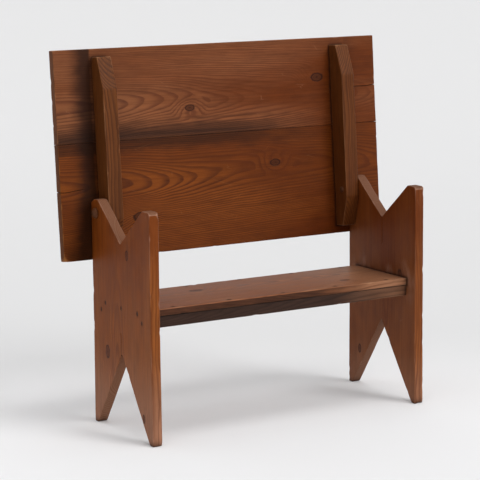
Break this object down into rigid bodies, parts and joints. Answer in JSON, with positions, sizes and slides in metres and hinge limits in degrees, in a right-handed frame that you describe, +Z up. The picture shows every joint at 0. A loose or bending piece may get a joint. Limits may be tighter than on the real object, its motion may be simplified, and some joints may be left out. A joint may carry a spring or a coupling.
{
  "type": "bench table",
  "caption": "Wooden bench table: two V-cut plank ends carry a seat, and the board top swings on wooden pins between a bench back and a table.",
  "frame": {"origin": "on the floor, under the middle of the whole piece as it stands as a bench", "axes": "+X to the right along the seat, +Y to the back, where the raised top leans, +Z up"},
  "size_m": [1.15, 0.4392, 1.1264],
  "materials": {
    "ends_wood": "satin",
    "seat_wood": "satin",
    "rail_wood": "satin",
    "top_wood": "satin",
    "cleat_wood": "satin",
    "pin_wood": "satin",
    "nail_iron": "matte"
  },
  "bodies": {
    "base": {"left_end": "ends_wood", "right_end": "ends_wood", "seat_board": "seat_wood", "front_rail": "rail_wood", "back_rail": "rail_wood", "left_seat_nails": "nail_iron", "right_seat_nails": "nail_iron", "left_rail_nails": "nail_iron", "right_rail_nails": "nail_iron", "seat_rail_nails": "nail_iron"},
    "table_top": {"lower_top_board": "top_wood", "upper_top_board": "top_wood", "left_cleat": "cleat_wood", "right_cleat": "cleat_wood", "left_cleat_nails": "nail_iron", "right_cleat_nails": "nail_iron"},
    "left_pin": {"left_pivot_pin": "pin_wood"},
    "right_pin": {"right_pivot_pin": "pin_wood"}
  },
  "joints": [
    {"name": "top_swing", "type": "hinge", "parent": "base", "child": "table_top", "pos_m": [0, 0.11343, 0.644], "axis": [1, 0, 0], "range_deg": [0, 94.36]},
    {"name": "left_pin_pull", "type": "slide", "parent": "base", "child": "left_pin", "axis": [-1, 0, 0], "range_m": [0, 0.0531]},
    {"name": "right_pin_pull", "type": "slide", "parent": "base", "child": "right_pin", "axis": [1, 0, 0], "range_m": [0, 0.0531]}
  ]
}
